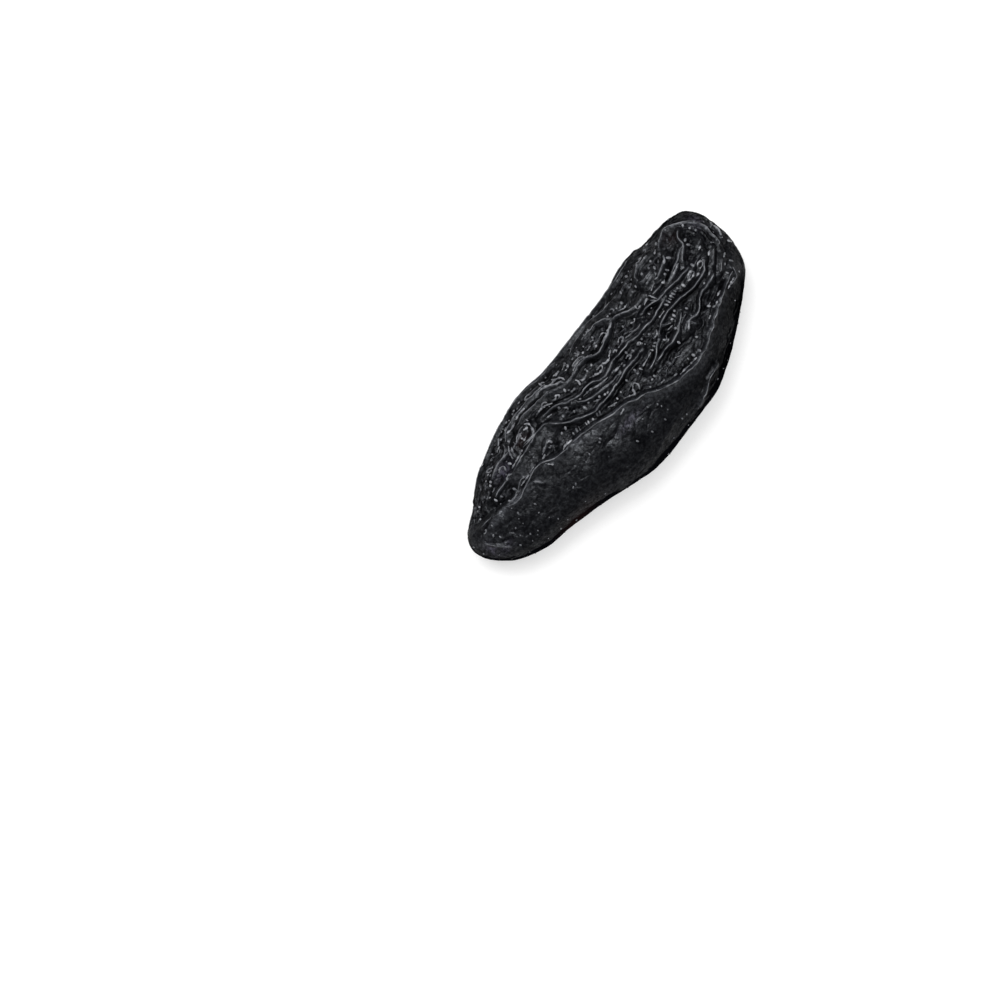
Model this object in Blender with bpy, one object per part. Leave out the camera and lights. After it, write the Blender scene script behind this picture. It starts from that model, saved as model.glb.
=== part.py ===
# Tonka bean: one dried seed with a wrinkled coat, lying on its broad side.
# Metres, +Z up. +X runs towards the blunt end and +Y towards the wrinkled edge. The origin is the middle
# of the footprint, on the surface that the bean lies on. The tables are in millimetres, scaled by MM.

import math
import random

import bmesh
import bpy
import numpy as np
from mathutils import Vector, noise

MM = 0.001
NAME = "tonka_bean"

# Size of the finished bean and form of its smooth coat
LENGTH = 40.0
WIDTH = 15.4
HALF_LENGTH = LENGTH / 2
BACK_RATIO = 0.70       # height of the upper half over the half width
BELLY_RATIO = 0.69      # the same for the lower half
SECTION_POWER = 2.4     # 2 is an ellipse, and more is boxier
REST_CUT = 0.22         # how much the flat spot takes off the belly
REST_PLACE = (1.2, -0.3)
REST_SIZE = (5.1, 2.5)  # half axes of the patch that has no wrinkles at all
REST_FADE = 0.8         # how far beyond it they take to come back, as a share of its size

# Outline seen from above: (x, y) along the wrinkled edge and along the smooth edge
TIP = (-20.0, 1.9)
BLUNT_END = (20.0, 2.1)
WRINKLED_EDGE = (
    TIP, (-19.5, 3.1), (-18.0, 4.3), (-16.0, 5.2), (-13.0, 6.4), (-10.0, 7.0), (-5.0, 7.5),
    (-2.0, 7.0), (3.0, 6.9), (8.5, 6.8), (12.0, 7.4), (15.0, 7.1), (18.0, 6.4), (19.2, 5.4),
    (19.8, 4.0), BLUNT_END,
)
SMOOTH_EDGE = (
    TIP, (-19.5, 0.2), (-18.0, -1.8), (-15.0, -3.5), (-12.0, -4.3), (-9.0, -5.2), (-6.0, -6.2),
    (-3.0, -7.2), (0.0, -7.6), (4.0, -7.7), (7.0, -7.5), (10.0, -6.7), (13.0, -5.4), (16.0, -3.9),
    (18.0, -2.5), (19.5, -0.3), BLUNT_END,
)

# The line on the back where the wrinkled field ends and the smooth flank begins
FIELD_LINE = (
    (-20.0, 2.0), (-14.7, 2.3), (-12.3, 1.8), (-9.0, 2.0), (-7.9, 1.2), (-6.0, 0.9), (-4.3, 0.4),
    (-1.5, -0.4), (1.3, -1.5), (3.0, -2.5), (5.8, -3.9), (7.5, -4.2), (9.0, -4.0), (11.0, -3.4),
    (13.6, -2.5), (16.3, -1.7), (20.0, -2.6),
)
FIELD_DROP = 0.24            # how far the hollows between crests lie below the smooth coat
FIELD_FADE = 0.5
HOLLOW_REACH = 0.55          # distance from a crest at which a hollow is nearly at its full depth
TIP_START, TIP_FADE = -19.4, 2.0     # where the field starts at the tip, and how far it takes to grow in
BLUNT_STOP, BLUNT_FADE = 19.6, 1.6   # the same at the blunt end
BELLY_SHIFT, BELLY_FADE = 2.5, 2.0   # how much lower the line is on the belly, and how soft
PLATEAU_PLACE = (-8.2, 3.2)          # the smooth patch inside the field
PLATEAU_SIZE = (2.9, 0.6)
PLATEAU_FADE = 0.7

# Crests on the back: height, then the points (x, y) that each one runs through
BACK_CRESTS = (
    (0.42, ((-6.8, 1.1), (-5.0, 0.9), (-3.6, 0.3), (-1.5, -0.4), (1.3, -1.5), (3.0, -2.5), (5.8, -3.9),
            (7.5, -4.2), (9.0, -4.0), (11.0, -3.4), (13.6, -2.5), (16.3, -1.7), (18.0, -2.2))),
    (0.34, ((-14.7, 2.3), (-13.2, 1.7), (-11.2, 2.0), (-9.0, 2.0), (-7.9, 1.2), (-6.0, 0.9))),
    (0.36, ((-12.0, 3.6), (-10.1, 4.0), (-8.0, 4.1), (-5.8, 4.1), (-5.1, 3.3), (-3.9, 2.0), (-2.5, 1.2),
            (0.5, 0.8), (3.0, 0.9), (5.6, 0.9))),
    (0.34, ((-5.7, 4.9), (-4.0, 4.4), (-1.9, 3.3), (0.1, 2.8), (1.4, 2.2), (2.9, 2.4), (5.1, 2.3),
            (8.2, 1.8), (11.0, 2.1))),
    (0.24, ((-2.6, 3.4), (-1.9, 2.4), (0.1, 1.7), (2.5, 1.2))),
    (0.34, ((-8.0, 6.3), (-5.4, 6.2), (-3.2, 5.7), (-1.5, 4.9), (1.2, 4.8), (2.5, 4.2), (4.1, 4.3),
            (6.2, 4.9), (8.2, 4.1), (9.8, 4.1))),
    (0.26, ((2.6, 6.2), (4.0, 6.1), (5.6, 5.7), (6.3, 5.0))),
    (0.26, ((-3.6, 6.5), (-2.3, 5.9), (-1.4, 5.2))),
    (0.32, ((8.2, 3.1), (9.5, 3.0), (10.1, 2.6), (12.1, 2.4), (13.4, 2.1), (15.1, 2.0))),
    (0.34, ((7.6, 0.3), (8.6, 0.9), (11.0, 1.0), (12.8, 0.7), (15.3, 0.7), (16.5, 1.4))),
    (0.26, ((4.2, -0.9), (6.0, -0.5), (7.6, 0.3))),
    (0.32, ((5.3, -0.9), (7.1, -1.1), (8.9, -0.9), (10.9, 0.2))),
    (0.28, ((9.5, -1.6), (10.4, -1.2), (11.7, -1.3), (13.2, -0.6), (15.4, -0.4), (16.0, 0.1))),
    (0.30, ((14.0, 5.3), (16.0, 6.3), (17.9, 5.2), (18.7, 4.0), (18.8, 2.6), (18.2, 0.4))),
    (0.24, ((10.4, 5.5), (12.0, 6.3), (13.5, 6.4))),
    (0.24, ((-10.0, 6.1), (-8.5, 6.8), (-6.5, 6.9), (-4.0, 6.9), (-2.5, 6.5))),
    (0.24, ((0.5, 6.3), (2.0, 6.6), (5.5, 6.6), (7.5, 6.0))),
    (0.24, ((11.9, 3.8), (13.2, 4.3), (14.2, 4.8))),
    (0.24, ((12.1, 2.8), (14.3, 3.3), (16.1, 3.9))),
    (0.24, ((-17.4, 3.1), (-16.1, 2.7), (-14.9, 2.3))),
    (0.26, ((-14.5, 3.7), (-13.4, 3.9), (-12.0, 3.7))),
    (0.28, ((-13.5, 5.0), (-11.5, 5.4), (-9.5, 5.2), (-7.5, 5.4))),
    (0.22, ((4.0, -7.3), (5.6, -6.8), (7.0, -6.3), (9.3, -5.7))),
)
CREST_WIDTH = 0.40
CREST_POWER = 1.6       # 1 is a knife edge, 2 a round hump
CREST_TIP = 0.25        # height of a crest's ends, as a share of its full height
CREST_GROWTH = 0.13     # share of its length over which it grows to its full height

# Crests round the hidden side follow a rule: long lines side by side that wander, and some of them fork
BELLY_SEED = 11
BELLY_ANGLES = (-142, 28)    # degrees round the section, from the smooth flank to the wrinkled edge
BELLY_COUNT = 13
BELLY_HEIGHT = (0.24, 0.36)
BELLY_STARTS = (-16.0, -9.0)
BELLY_ENDS = (11.0, 17.5)
BELLY_WANDER = 12.0          # degrees
WANDER_LENGTH = 5.0
FORK_CHANCE = 0.6
FORK_FIRST = 3               # points from the start of a crest to its first possible fork
FORK_LENGTH = 8
FORK_SPREAD = 0.55           # share of the gap to the next crest that a fork crosses
FORK_BEND = 0.7
FORK_HEIGHT = 0.75

# Small wrinkles and the gentle unevenness of the coat
WRINKLE_HEIGHT = 0.13
WRINKLE_SIZE = (4.2, 0.95, 0.95)
WRINKLE_STEEPNESS = 4.0
SWELL_HEIGHT = 0.16
SWELL_SIZE = (5.0, 3.4, 3.4)

# Mesh
BALL_LEVEL = 7
TRIANGLES = 11800
BALL_TRIANGLES = 20 * 4 ** (BALL_LEVEL - 1)
PATH_STEP = 0.35
CUTTER_SIDE = 60.0

# Material
COAT_COLOR = (0.016, 0.015, 0.016, 1.0)
COAT_ROUGHNESS = 0.42


def read_curve(stations, at):
    """Values at the places in `at` of the cubic curve through the stations (place, value)."""
    place, value = np.array(stations, float).T
    slope = np.gradient(value, place)
    i = np.clip(np.searchsorted(place, at) - 1, 0, len(place) - 2)
    step = place[i + 1] - place[i]
    t = (at - place[i]) / step
    rise = t * t * (3 - 2 * t)
    bend = step * (slope[i] * t * (1 - t) ** 2 - slope[i + 1] * t * t * (1 - t))
    return value[i] * (1 - rise) + value[i + 1] * rise + bend


def lean(x):
    """The angle whose sine is the place along the bean, in which the ends of the outline are straight."""
    return np.arcsin(np.clip(np.asarray(x, float) / HALF_LENGTH, -1, 1))


def edge(stations, x):
    return read_curve([(float(lean(px)), py) for px, py in stations], lean(x))


def section(x):
    """Middle line and half width of the outline at x."""
    high, low = edge(WRINKLED_EDGE, x), edge(SMOOTH_EDGE, x)
    return (high + low) / 2, np.maximum((high - low) / 2, 0)


def coat_point(x, angle):
    """The point on the unwrinkled coat at x and at this angle round the section, 0 at +Y and 90 on top."""
    middle, half = section(x)
    across, up = np.cos(angle), np.sin(angle)
    reach = (np.abs(across) ** SECTION_POWER + np.abs(up) ** SECTION_POWER) ** (-1 / SECTION_POWER)
    ratio = np.where(up > 0, BACK_RATIO, BELLY_RATIO)
    return np.stack([x, middle + half * reach * across, half * ratio * reach * up], axis=-1)


def on_back(points):
    """Points (x, y) of the outline's plane, lifted onto the upper side of the coat."""
    x, y = np.array(points, float).T
    middle, half = section(x)
    side = np.clip(np.abs((y - middle) / half), 0, 0.999)
    return np.stack([x, y, half * BACK_RATIO * (1 - side**SECTION_POWER) ** (1 / SECTION_POWER)], axis=-1)


def fine_path(points):
    """The same path as a smooth curve with a point every PATH_STEP."""
    points = np.array(points, float)
    run = np.concatenate([[0], np.cumsum(np.linalg.norm(np.diff(points, axis=0), axis=1))])
    at = np.linspace(0, run[-1], max(3, math.ceil(run[-1] / PATH_STEP)))
    return np.stack([read_curve(np.stack([run, axis], axis=-1), at) for axis in points.T], axis=-1)


def belly_path(x, angle):
    return fine_path(coat_point(x, np.radians(angle)))


def belly_crests():
    """(height, path) of the crests on the hidden side."""
    draw = random.Random(BELLY_SEED)
    first, last = BELLY_ANGLES
    gap = (last - first) / (BELLY_COUNT - 1)
    crests = []
    for row in range(BELLY_COUNT):
        x = np.arange(draw.uniform(*BELLY_STARTS), draw.uniform(*BELLY_ENDS))
        wander = [noise.noise(Vector((at / WANDER_LENGTH, math.pi * row, BELLY_SEED))) for at in x]
        angle = first + gap * row + BELLY_WANDER * np.array(wander)
        height = draw.uniform(*BELLY_HEIGHT)
        crests.append((height, belly_path(x, angle)))
        if draw.random() < FORK_CHANCE:
            start = draw.randrange(FORK_FIRST, len(x) // 2)
            fork = slice(start, start + FORK_LENGTH)
            spread = FORK_SPREAD * gap * np.linspace(0, 1, FORK_LENGTH) ** FORK_BEND
            crests.append((FORK_HEIGHT * height, belly_path(x[fork], angle[fork] + spread)))
    return crests


def distance_to(path, points):
    """Distance of each point from the path, and how far along the path its nearest place is, 0 to 1."""
    nearest = np.full(len(points), np.inf)
    along = np.zeros(len(points))
    for i, (a, b) in enumerate(zip(path[:-1], path[1:])):
        t = np.clip((points - a) @ (b - a) / ((b - a) @ (b - a)), 0, 1)
        gap = np.linalg.norm(points - a - t[:, None] * (b - a), axis=1)
        closer = gap < nearest
        nearest[closer] = gap[closer]
        along[closer] = (i + t[closer]) / (len(path) - 1)
    return nearest, along


def crest_relief(points):
    """Height of the crests at each point, and the distance to the nearest of them."""
    height = np.zeros(len(points))
    nearest = np.full(len(points), np.inf)
    back = [(top, fine_path(on_back(path))) for top, path in BACK_CRESTS]
    for top, path in back + belly_crests():
        gap, along = distance_to(path, points)
        ends = CREST_TIP + (1 - CREST_TIP) * ramp(np.minimum(along, 1 - along), CREST_GROWTH)
        height = np.maximum(height, top * ends * np.exp(-((gap / CREST_WIDTH) ** CREST_POWER)))
        nearest = np.minimum(nearest, gap)
    return height, nearest


def ramp(value, width):
    """0 below zero and 1 above the width, with a smooth change between."""
    t = np.clip(value / width, 0, 1)
    return t * t * (3 - 2 * t)


def outside(points, place, size, fade):
    """0 in an ellipse of the outline's plane and 1 outside it."""
    away = np.linalg.norm((points[:, :2] - np.array(place)) / np.array(size), axis=1)
    return ramp(away - 1, fade)


def field_mask(points):
    """1 in the wrinkled field and 0 on the smooth flank, which runs round the smooth edge on both sides."""
    x, y, z = points.T
    above = y - read_curve(FIELD_LINE, x)
    back = ramp(above, FIELD_FADE) * outside(points, PLATEAU_PLACE, PLATEAU_SIZE, PLATEAU_FADE)
    belly = ramp(above + BELLY_SHIFT, BELLY_FADE)
    return np.where(z > 0, back, belly) * ramp(x - TIP_START, TIP_FADE) * ramp(BLUNT_STOP - x, BLUNT_FADE)


def noise_at(points, size):
    return np.array([noise.noise(Vector(p)) for p in points / np.array(size)])


def relief(points):
    """How far the real coat stands out from the smooth form, in millimetres."""
    field = field_mask(points)
    crests, nearest = crest_relief(points)
    hollow = 1 - np.exp(-((nearest / HOLLOW_REACH) ** 2))
    wrinkles = 1 - WRINKLE_STEEPNESS * np.abs(noise_at(points, WRINKLE_SIZE))
    fine = field * hollow * (WRINKLE_HEIGHT * wrinkles - FIELD_DROP)
    spot = outside(points, REST_PLACE, REST_SIZE, REST_FADE)
    swell = SWELL_HEIGHT * noise_at(points, SWELL_SIZE)
    return (crests + fine) * np.where(points[:, 2] < 0, spot, 1) + swell


def add_ball():
    ball = bmesh.new()
    bmesh.ops.create_icosphere(ball, subdivisions=BALL_LEVEL, radius=1)
    mesh = bpy.data.meshes.new(NAME)
    ball.to_mesh(mesh)
    ball.free()
    return mesh


def mesh_points(mesh, key="co", source="vertices"):
    flat = np.empty(3 * len(getattr(mesh, source)))
    getattr(mesh, source).foreach_get(key, flat)
    return flat.reshape(-1, 3)


def shape_bean(mesh):
    ball = mesh_points(mesh)
    smooth = coat_point(HALF_LENGTH * ball[:, 0], np.arctan2(ball[:, 2], ball[:, 1]))
    mesh.vertices.foreach_set("co", smooth.ravel())
    mesh.update()
    normal = mesh_points(mesh, "vector", "vertex_normals")
    bean = smooth + normal * relief(smooth)[:, None]
    low, high = bean.min(axis=0), bean.max(axis=0)
    middle = (low + high) / 2
    stretch = (LENGTH / (high - low)[0], WIDTH / (high - low)[1], 1)
    bean = (bean - (middle[0], middle[1], low[2] + REST_CUT)) * stretch
    mesh.vertices.foreach_set("co", (bean * MM).ravel())
    mesh.update()


def coat_material():
    material = bpy.data.materials.new("seed_coat")
    material.use_nodes = True
    shader = material.node_tree.nodes["Principled BSDF"]
    shader.inputs["Base Color"].default_value = COAT_COLOR
    shader.inputs["Roughness"].default_value = COAT_ROUGHNESS
    shader.inputs["Metallic"].default_value = 0.0
    return material


def add_object(name, mesh, collection_name):
    collection = bpy.data.collections.new(collection_name)
    bpy.context.scene.collection.children.link(collection)
    added = bpy.data.objects.new(name, mesh)
    collection.objects.link(added)
    return added


def add_rest_cutter():
    """A block whose top lies in the surface that the bean rests on."""
    block = bmesh.new()
    bmesh.ops.create_cube(block, size=CUTTER_SIDE * MM)
    bmesh.ops.translate(block, verts=block.verts, vec=(0, 0, -CUTTER_SIDE * MM / 2))
    mesh = bpy.data.meshes.new("rest_cutter")
    block.to_mesh(mesh)
    block.free()
    cutter = add_object("rest_cutter", mesh, "cutters")
    cutter.hide_render = True
    cutter.display_type = "WIRE"
    return cutter


def main():
    for old in list(bpy.data.objects):
        bpy.data.objects.remove(old, do_unlink=True)
    mesh = add_ball()
    shape_bean(mesh)
    mesh.shade_smooth()
    mesh.materials.append(coat_material())
    bean = add_object(NAME, mesh, NAME)
    thin = bean.modifiers.new("Thin out", "DECIMATE")
    thin.ratio = TRIANGLES / BALL_TRIANGLES
    rest = bean.modifiers.new("Rest spot", "BOOLEAN")
    rest.operation = "DIFFERENCE"
    rest.object = add_rest_cutter()


main()
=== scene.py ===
import math
import random

import bmesh
import bpy
import numpy as np
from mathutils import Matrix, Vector, noise


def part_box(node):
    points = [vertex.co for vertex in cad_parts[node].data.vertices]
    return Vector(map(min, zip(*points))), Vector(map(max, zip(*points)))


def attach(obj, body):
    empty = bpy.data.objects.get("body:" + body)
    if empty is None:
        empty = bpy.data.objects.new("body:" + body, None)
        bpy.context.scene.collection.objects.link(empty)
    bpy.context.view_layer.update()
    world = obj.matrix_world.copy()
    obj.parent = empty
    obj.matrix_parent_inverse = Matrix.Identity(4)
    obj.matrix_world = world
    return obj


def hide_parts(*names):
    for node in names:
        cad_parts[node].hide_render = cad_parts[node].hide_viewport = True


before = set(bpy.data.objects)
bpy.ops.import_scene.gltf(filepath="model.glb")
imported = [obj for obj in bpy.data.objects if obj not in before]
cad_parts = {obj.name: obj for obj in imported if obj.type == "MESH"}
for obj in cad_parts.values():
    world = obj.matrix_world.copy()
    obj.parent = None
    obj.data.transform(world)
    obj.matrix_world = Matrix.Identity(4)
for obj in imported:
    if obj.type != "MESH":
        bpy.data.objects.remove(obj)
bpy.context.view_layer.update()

mm = 0.001

# The bean's form, as the solid has it. Lengths in mm, x towards the blunt end, y towards the wrinkled edge
form = {
    "halfLength": 20.0,
    "backRatio": 0.70,        # height of the upper half over the half width
    "bellyRatio": 0.69,
    "sectionPower": 2.4,      # 2 is an ellipse, and more is boxier
    "sideLimit": 0.999,       # of the half width, for what is lifted onto the back
    "normalStep": 0.02,       # over which the coat's slope is measured
    "restSpot": ((1.2, -0.3), (5.1, 2.5), 0.8),    # place, half size and fade of the spot that it lies on
    "swellHeight": 0.16,      # gentle unevenness of the whole coat
    "swellSize": (5.0, 3.4, 3.4),
    "ballLevel": 9,
    "quickLevel": 8,
    "triangles": 190000,
}

tip = (-20.0, 1.9)
bluntEnd = (20.0, 2.1)
wrinkledEdge = (
    tip, (-19.5, 3.1), (-18.0, 4.3), (-16.0, 5.2), (-13.0, 6.4), (-10.0, 7.0), (-5.0, 7.5),
    (-2.0, 7.0), (3.0, 6.9), (8.5, 6.8), (12.0, 7.4), (15.0, 7.1), (18.0, 6.6), (19.2, 5.7),
    (19.8, 4.3), bluntEnd,
)
smoothEdge = (
    tip, (-19.5, 0.2), (-18.0, -1.8), (-15.0, -3.5), (-12.0, -4.3), (-9.0, -5.2), (-6.0, -6.2),
    (-3.0, -7.2), (0.0, -7.6), (4.0, -7.7), (7.0, -7.5), (10.0, -6.7), (13.0, -5.4), (16.0, -3.9),
    (18.0, -2.5), (19.5, -0.3), bluntEnd,
)

# Where the wrinkled field ends and the smooth flank begins, on the back
field = {
    "line": (
        (-20.0, 2.0), (-14.7, 2.3), (-12.3, 1.8), (-9.0, 2.0), (-7.9, 1.2), (-6.0, 0.9), (-4.3, 0.4),
        (-1.5, -0.4), (1.3, -1.5), (3.0, -2.5), (5.8, -3.9), (7.5, -4.2), (9.0, -4.0), (11.0, -3.4),
        (13.6, -2.5), (16.3, -1.7), (20.0, -2.6),
    ),
    "fade": 0.3,
    "bluntBlend": 2.2,        # how much wider it fades at the blunt end
    "blendStart": 15.5,
    "blendLength": 2.0,
    "browHeight": 0.16,       # the flank swells towards that line
    "browWidth": 1.7,
    "browFade": 3.0,
    "browRise": 1.0,
    "browLight": 0.80,        # painted sheen: how much lighter the flank is painted just below the line
    "browLightWidth": 0.65,
    "browLightStop": 8.0,
    "browLightFade": 3.0,
    "browLightLost": 0.85,    # past that stop
    "browLightFlat": 0.75,    # lost on the plateau
    "tipStart": -19.4,
    "tipFade": 2.0,
    "bluntStop": 19.6,
    "bluntFade": 1.6,
    "capShare": 0.35,         # of the wrinkles that the blunt end keeps
    "bellyShift": 2.5,
    "bellyFade": 2.0,
    "plateau": ((-8.2, 3.2), (2.9, 0.6), 0.7),    # place, half size and fade
}

# What the back shows, read off. Each path is x and y of its points in turn, in tenths of a mm

# Crests: height in mm, and path
backCrests = (
    (0.42, (-68, 11, -50, 9, -36, 3, -15, -4, 13, -15, 30, -25, 58, -39, 75, -42, 90, -40, 110, -34,
        136, -25, 160, -18, 173, -17)),
    (0.34, (-147, 23, -132, 17, -112, 20, -90, 20, -79, 12, -60, 9)),
    (0.36, (-120, 36, -101, 40, -80, 41, -58, 41, -51, 33, -39, 20, -25, 12, 5, 8, 30, 9, 56, 9)),
    (0.34, (-57, 49, -40, 44, -19, 33, 1, 28, 14, 22, 29, 24, 51, 23, 82, 18, 110, 21)),
    (0.24, (-26, 34, -19, 24, 1, 17, 25, 12)),
    (0.34, (-80, 63, -54, 62, -32, 57, -15, 49, 12, 48, 25, 42, 41, 43, 62, 49, 82, 41, 98, 41)),
    (0.26, (26, 62, 40, 61, 56, 57, 63, 50)),
    (0.26, (-36, 65, -23, 59, -14, 52)),
    (0.32, (82, 31, 95, 30, 101, 26, 121, 24, 134, 21, 151, 20)),
    (0.34, (76, 3, 86, 9, 110, 10, 128, 7, 153, 7, 165, 14)),
    (0.26, (42, -9, 60, -5, 76, 3)),
    (0.32, (53, -9, 71, -11, 89, -9, 109, 2)),
    (0.28, (95, -16, 104, -12, 117, -13, 132, -6, 154, -4, 160, 1)),
    (0.24, (140, 53, 160, 63, 179, 52, 187, 40, 188, 26, 182, 4)),
    (0.18, (104, 55, 120, 62, 133, 62)),
    (0.24, (-100, 61, -85, 68, -65, 69, -40, 69, -25, 65)),
    (0.13, (5, 63, 20, 66, 55, 66, 75, 60)),
    (0.24, (119, 38, 132, 43, 142, 48)),
    (0.24, (121, 28, 143, 33, 161, 39)),
    (0.15, (-177, 31, -166, 28, -152, 24)),
    (0.26, (-145, 37, -134, 39, -120, 37)),
    (0.28, (-135, 50, -115, 54, -95, 52, -75, 54)),
    (0.22, (40, -73, 56, -68, 70, -63, 93, -57)),
)

# Thin crests between them, which only this fine coat has
fineCrests = (
    (0.16, (-124, 54, -115, 55, -107, 55, -101, 59, -99, 65)),
    (0.14, (-115, 60, -109, 61, -103, 63)),
    (0.16, (-89, 46, -81, 44, -72, 45, -68, 52)),
    (0.16, (-90, 49, -86, 55, -79, 56, -71, 56)),
    (0.14, (-102, 44, -101, 50, -96, 55)),
    (0.14, (-97, 45, -94, 50, -92, 56)),
    (0.16, (-87, 23, -79, 26, -70, 29, -67, 25)),
    (0.14, (-138, 23, -128, 22, -117, 25, -107, 24, -96, 25)),
    (0.1, (-110, 16, -107, 9, -105, 4)),
    (0.1, (-89, 16, -84, 10)),
    (0.12, (-49, 3, -43, 0, -38, -2)),
    (0.18, (1, 53, 10, 53, 16, 50)),
    (0.18, (52, 28, 61, 27, 70, 25, 76, 24)),
    (0.16, (102, 36, 102, 31, 103, 27)),
    (0.16, (103, 33, 111, 31, 119, 32)),
    (0.16, (104, 52, 113, 49, 124, 47)),
    (0.14, (107, 45, 115, 45, 122, 44)),
    (0.16, (122, 28, 131, 28, 144, 30)),
    (0.18, (144, 27, 153, 33, 161, 39, 164, 47, 171, 54)),
    (0.16, (130, 13, 140, 14, 146, 17, 154, 18, 166, 19)),
    (0.16, (85, 9, 90, 4, 94, 2)),
    (0.14, (97, -8, 103, -6, 109, -3)),
    (0.14, (98, -17, 104, -15, 110, -19)),
    (0.14, (155, -22, 166, -21, 174, -12)),
    (0.14, (196, 31, 194, 20, 190, 12)),
    (0.12, (164, 24, 170, 27, 176, 28)),
    (0.12, (162, 2, 170, 6, 178, 14)),
    (0.12, (158, -8, 168, -5, 177, 0)),
    (0.2, (-187, 20, -184, 11, -180, 4, -176, -3, -173, -9)),
    (0.1, (-184, 17, -178, 9, -172, 6)),
    (0.1, (-179, 1, -173, -6, -170, -13)),
    (-0.07, (60, -60, 76, -56, 93, -52)),
    (-0.16, (-12, -18, -28, -22, -38, -21, -47, -29, -52, -36, -62, -48)),
    (0.08, (-165, -1, -160, -9, -155, -14)),
    (0.09, (-72, -54, -57, -60, -43, -62, -28, -65, -8, -65, 7, -61, 23, -60)),
    (-0.12, (-160, 37, -148, 36)),
)

# Short pale folds between the crests, pale partly as coumarin frost and partly as painted glints
coatFolds = (
    # towards the tip
    (-73, 28, -69, 27, -69, 24), (-81, 26, -76, 27), (-87, 22, -84, 22, -82, 23),
    (-139, 24, -138, 22, -129, 21), (-127, 28, -126, 24), (-120, 23, -114, 23, -107, 23),
    (-105, 24, -98, 24), (-112, 40, -106, 41, -95, 42), (-124, 37, -121, 39, -116, 37),
    (-104, 45, -102, 50, -99, 54, -97, 56), (-100, 45, -99, 49, -96, 53),
    (-71, 57, -68, 54, -69, 49, -72, 44, -80, 43, -89, 44), (-76, 54, -71, 52),
    (-89, 52, -85, 55, -80, 54), (-84, 47, -79, 48), (-88, 65, -82, 64, -75, 65),
    (-72, 66, -66, 67, -58, 66), (-110, 47, -109, 43), (-123, 48, -119, 50, -115, 48, -117, 44),
    (-88, 15, -85, 10), (-110, 16, -107, 12, -105, 7), (-68, 11, -64, 12, -60, 11, -55, 10),
    (-49, 14, -50, 11), (-44, 14, -46, 10), (-41, 13, -43, 9), (-34, 10, -35, 7), (-31, 9, -33, 6),
    (-20, 7, -22, 4), (-17, 6, -19, 3),
    # over the middle
    (-37, 65, -30, 63, -24, 59, -19, 59, -13, 55, -13, 51), (-22, 55, -17, 54), (-15, 61, -9, 61),
    (-6, 59, -2, 60, 1, 58, -2, 56, -5, 56), (-1, 50, 4, 51, 11, 51, 17, 48, 22, 45), (13, 55, 16, 57),
    (23, 51, 29, 51), (-56, 53, -46, 52, -38, 47), (-36, 49, -33, 47, -30, 49, -28, 46, -31, 45),
    (-19, 39, -13, 38), (-7, 43, -6, 40, -8, 36), (-4, 40, -3, 37, 3, 37),
    (3, 33, 10, 29, 17, 28, 20, 31, 13, 32), (8, 31, 12, 29), (21, 32, 24, 29, 30, 29),
    (-15, 27, -5, 25, 1, 22, 8, 20, 14, 19), (22, 17, 30, 16), (-35, 35, -33, 33, -34, 31),
    (-23, 21, -23, 16), (-13, 16, -11, 14, -7, 12), (-53, 43, -47, 41), (-9, 1, -5, -1, 0, -3),
    (-7, -1, -3, -3), (7, -6, 12, -9, 17, -12, 19, -8, 25, -5, 26, -9, 23, -13), (-8, -13, -1, -12),
    # towards the blunt end
    (30, 46, 33, 47), (31, 50, 34, 49), (33, 54, 35, 52), (37, 44, 47, 46, 46, 49, 39, 49),
    (49, 47, 54, 47, 59, 49), (85, 40, 84, 36, 89, 36), (91, 33, 98, 35), (98, 31, 101, 26),
    (101, 35, 103, 27), (106, 36, 112, 38), (117, 40, 121, 39), (72, 50, 77, 47, 82, 47),
    (115, 61, 119, 63), (45, 30, 51, 33, 54, 31, 51, 29, 43, 28), (30, 30, 37, 33),
    (36, 29, 38, 30, 40, 28, 38, 27), (61, 29, 64, 27), (69, 33, 73, 31, 75, 33), (90, 14, 98, 14),
    (105, 14, 103, 18), (108, 14, 107, 19), (111, 15, 110, 18), (114, 14, 113, 19), (117, 15, 116, 19),
    (120, 16, 119, 19), (124, 15, 123, 18), (31, 16, 34, 16), (31, 13, 34, 13),
    (39, 16, 43, 16, 44, 13, 40, 13), (56, 14, 58, 16, 60, 14, 57, 13), (70, 6, 76, 6, 79, 9),
    (95, 4, 97, 2), (43, -2, 51, -1, 58, 0), (39, 0, 40, -4), (60, 2, 61, -1), (64, 3, 65, 0),
    (67, 3, 69, 1), (75, -2, 77, -5, 80, -2), (76, -7, 79, -6), (85, 0, 92, -1), (98, -16, 105, -11),
    (40, -26, 45, -27), (58, -36, 66, -37, 71, -38), (72, -38, 81, -39), (68, -22, 76, -27),
    (118, -26, 122, -25), (121, 27, 129, 28, 138, 30, 143, 31), (118, 33, 120, 31, 123, 33),
    (135, 13, 141, 12, 146, 14, 143, 17, 137, 15), (152, 11, 156, 11, 159, 14, 155, 16, 152, 14),
    (144, 9, 148, 9), (167, 12, 172, 14), (166, 23, 170, 24), (164, 39, 168, 40), (177, 43, 180, 43),
    (191, 27, 194, 28, 196, 31), (195, 26, 194, 19, 191, 14), (191, 6, 193, 2), (175, -1, 180, 1),
    (176, -7, 178, -11), (152, 0, 157, 2), (127, -18, 132, -17), (129, -22, 132, -23, 137, -22),
    (141, -19, 147, -18), (153, -23, 159, -22, 166, -21), (134, 42, 140, 45), (132, 47, 135, 49),
    (137, 55, 141, 57), (145, 59, 148, 61),
)
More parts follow.
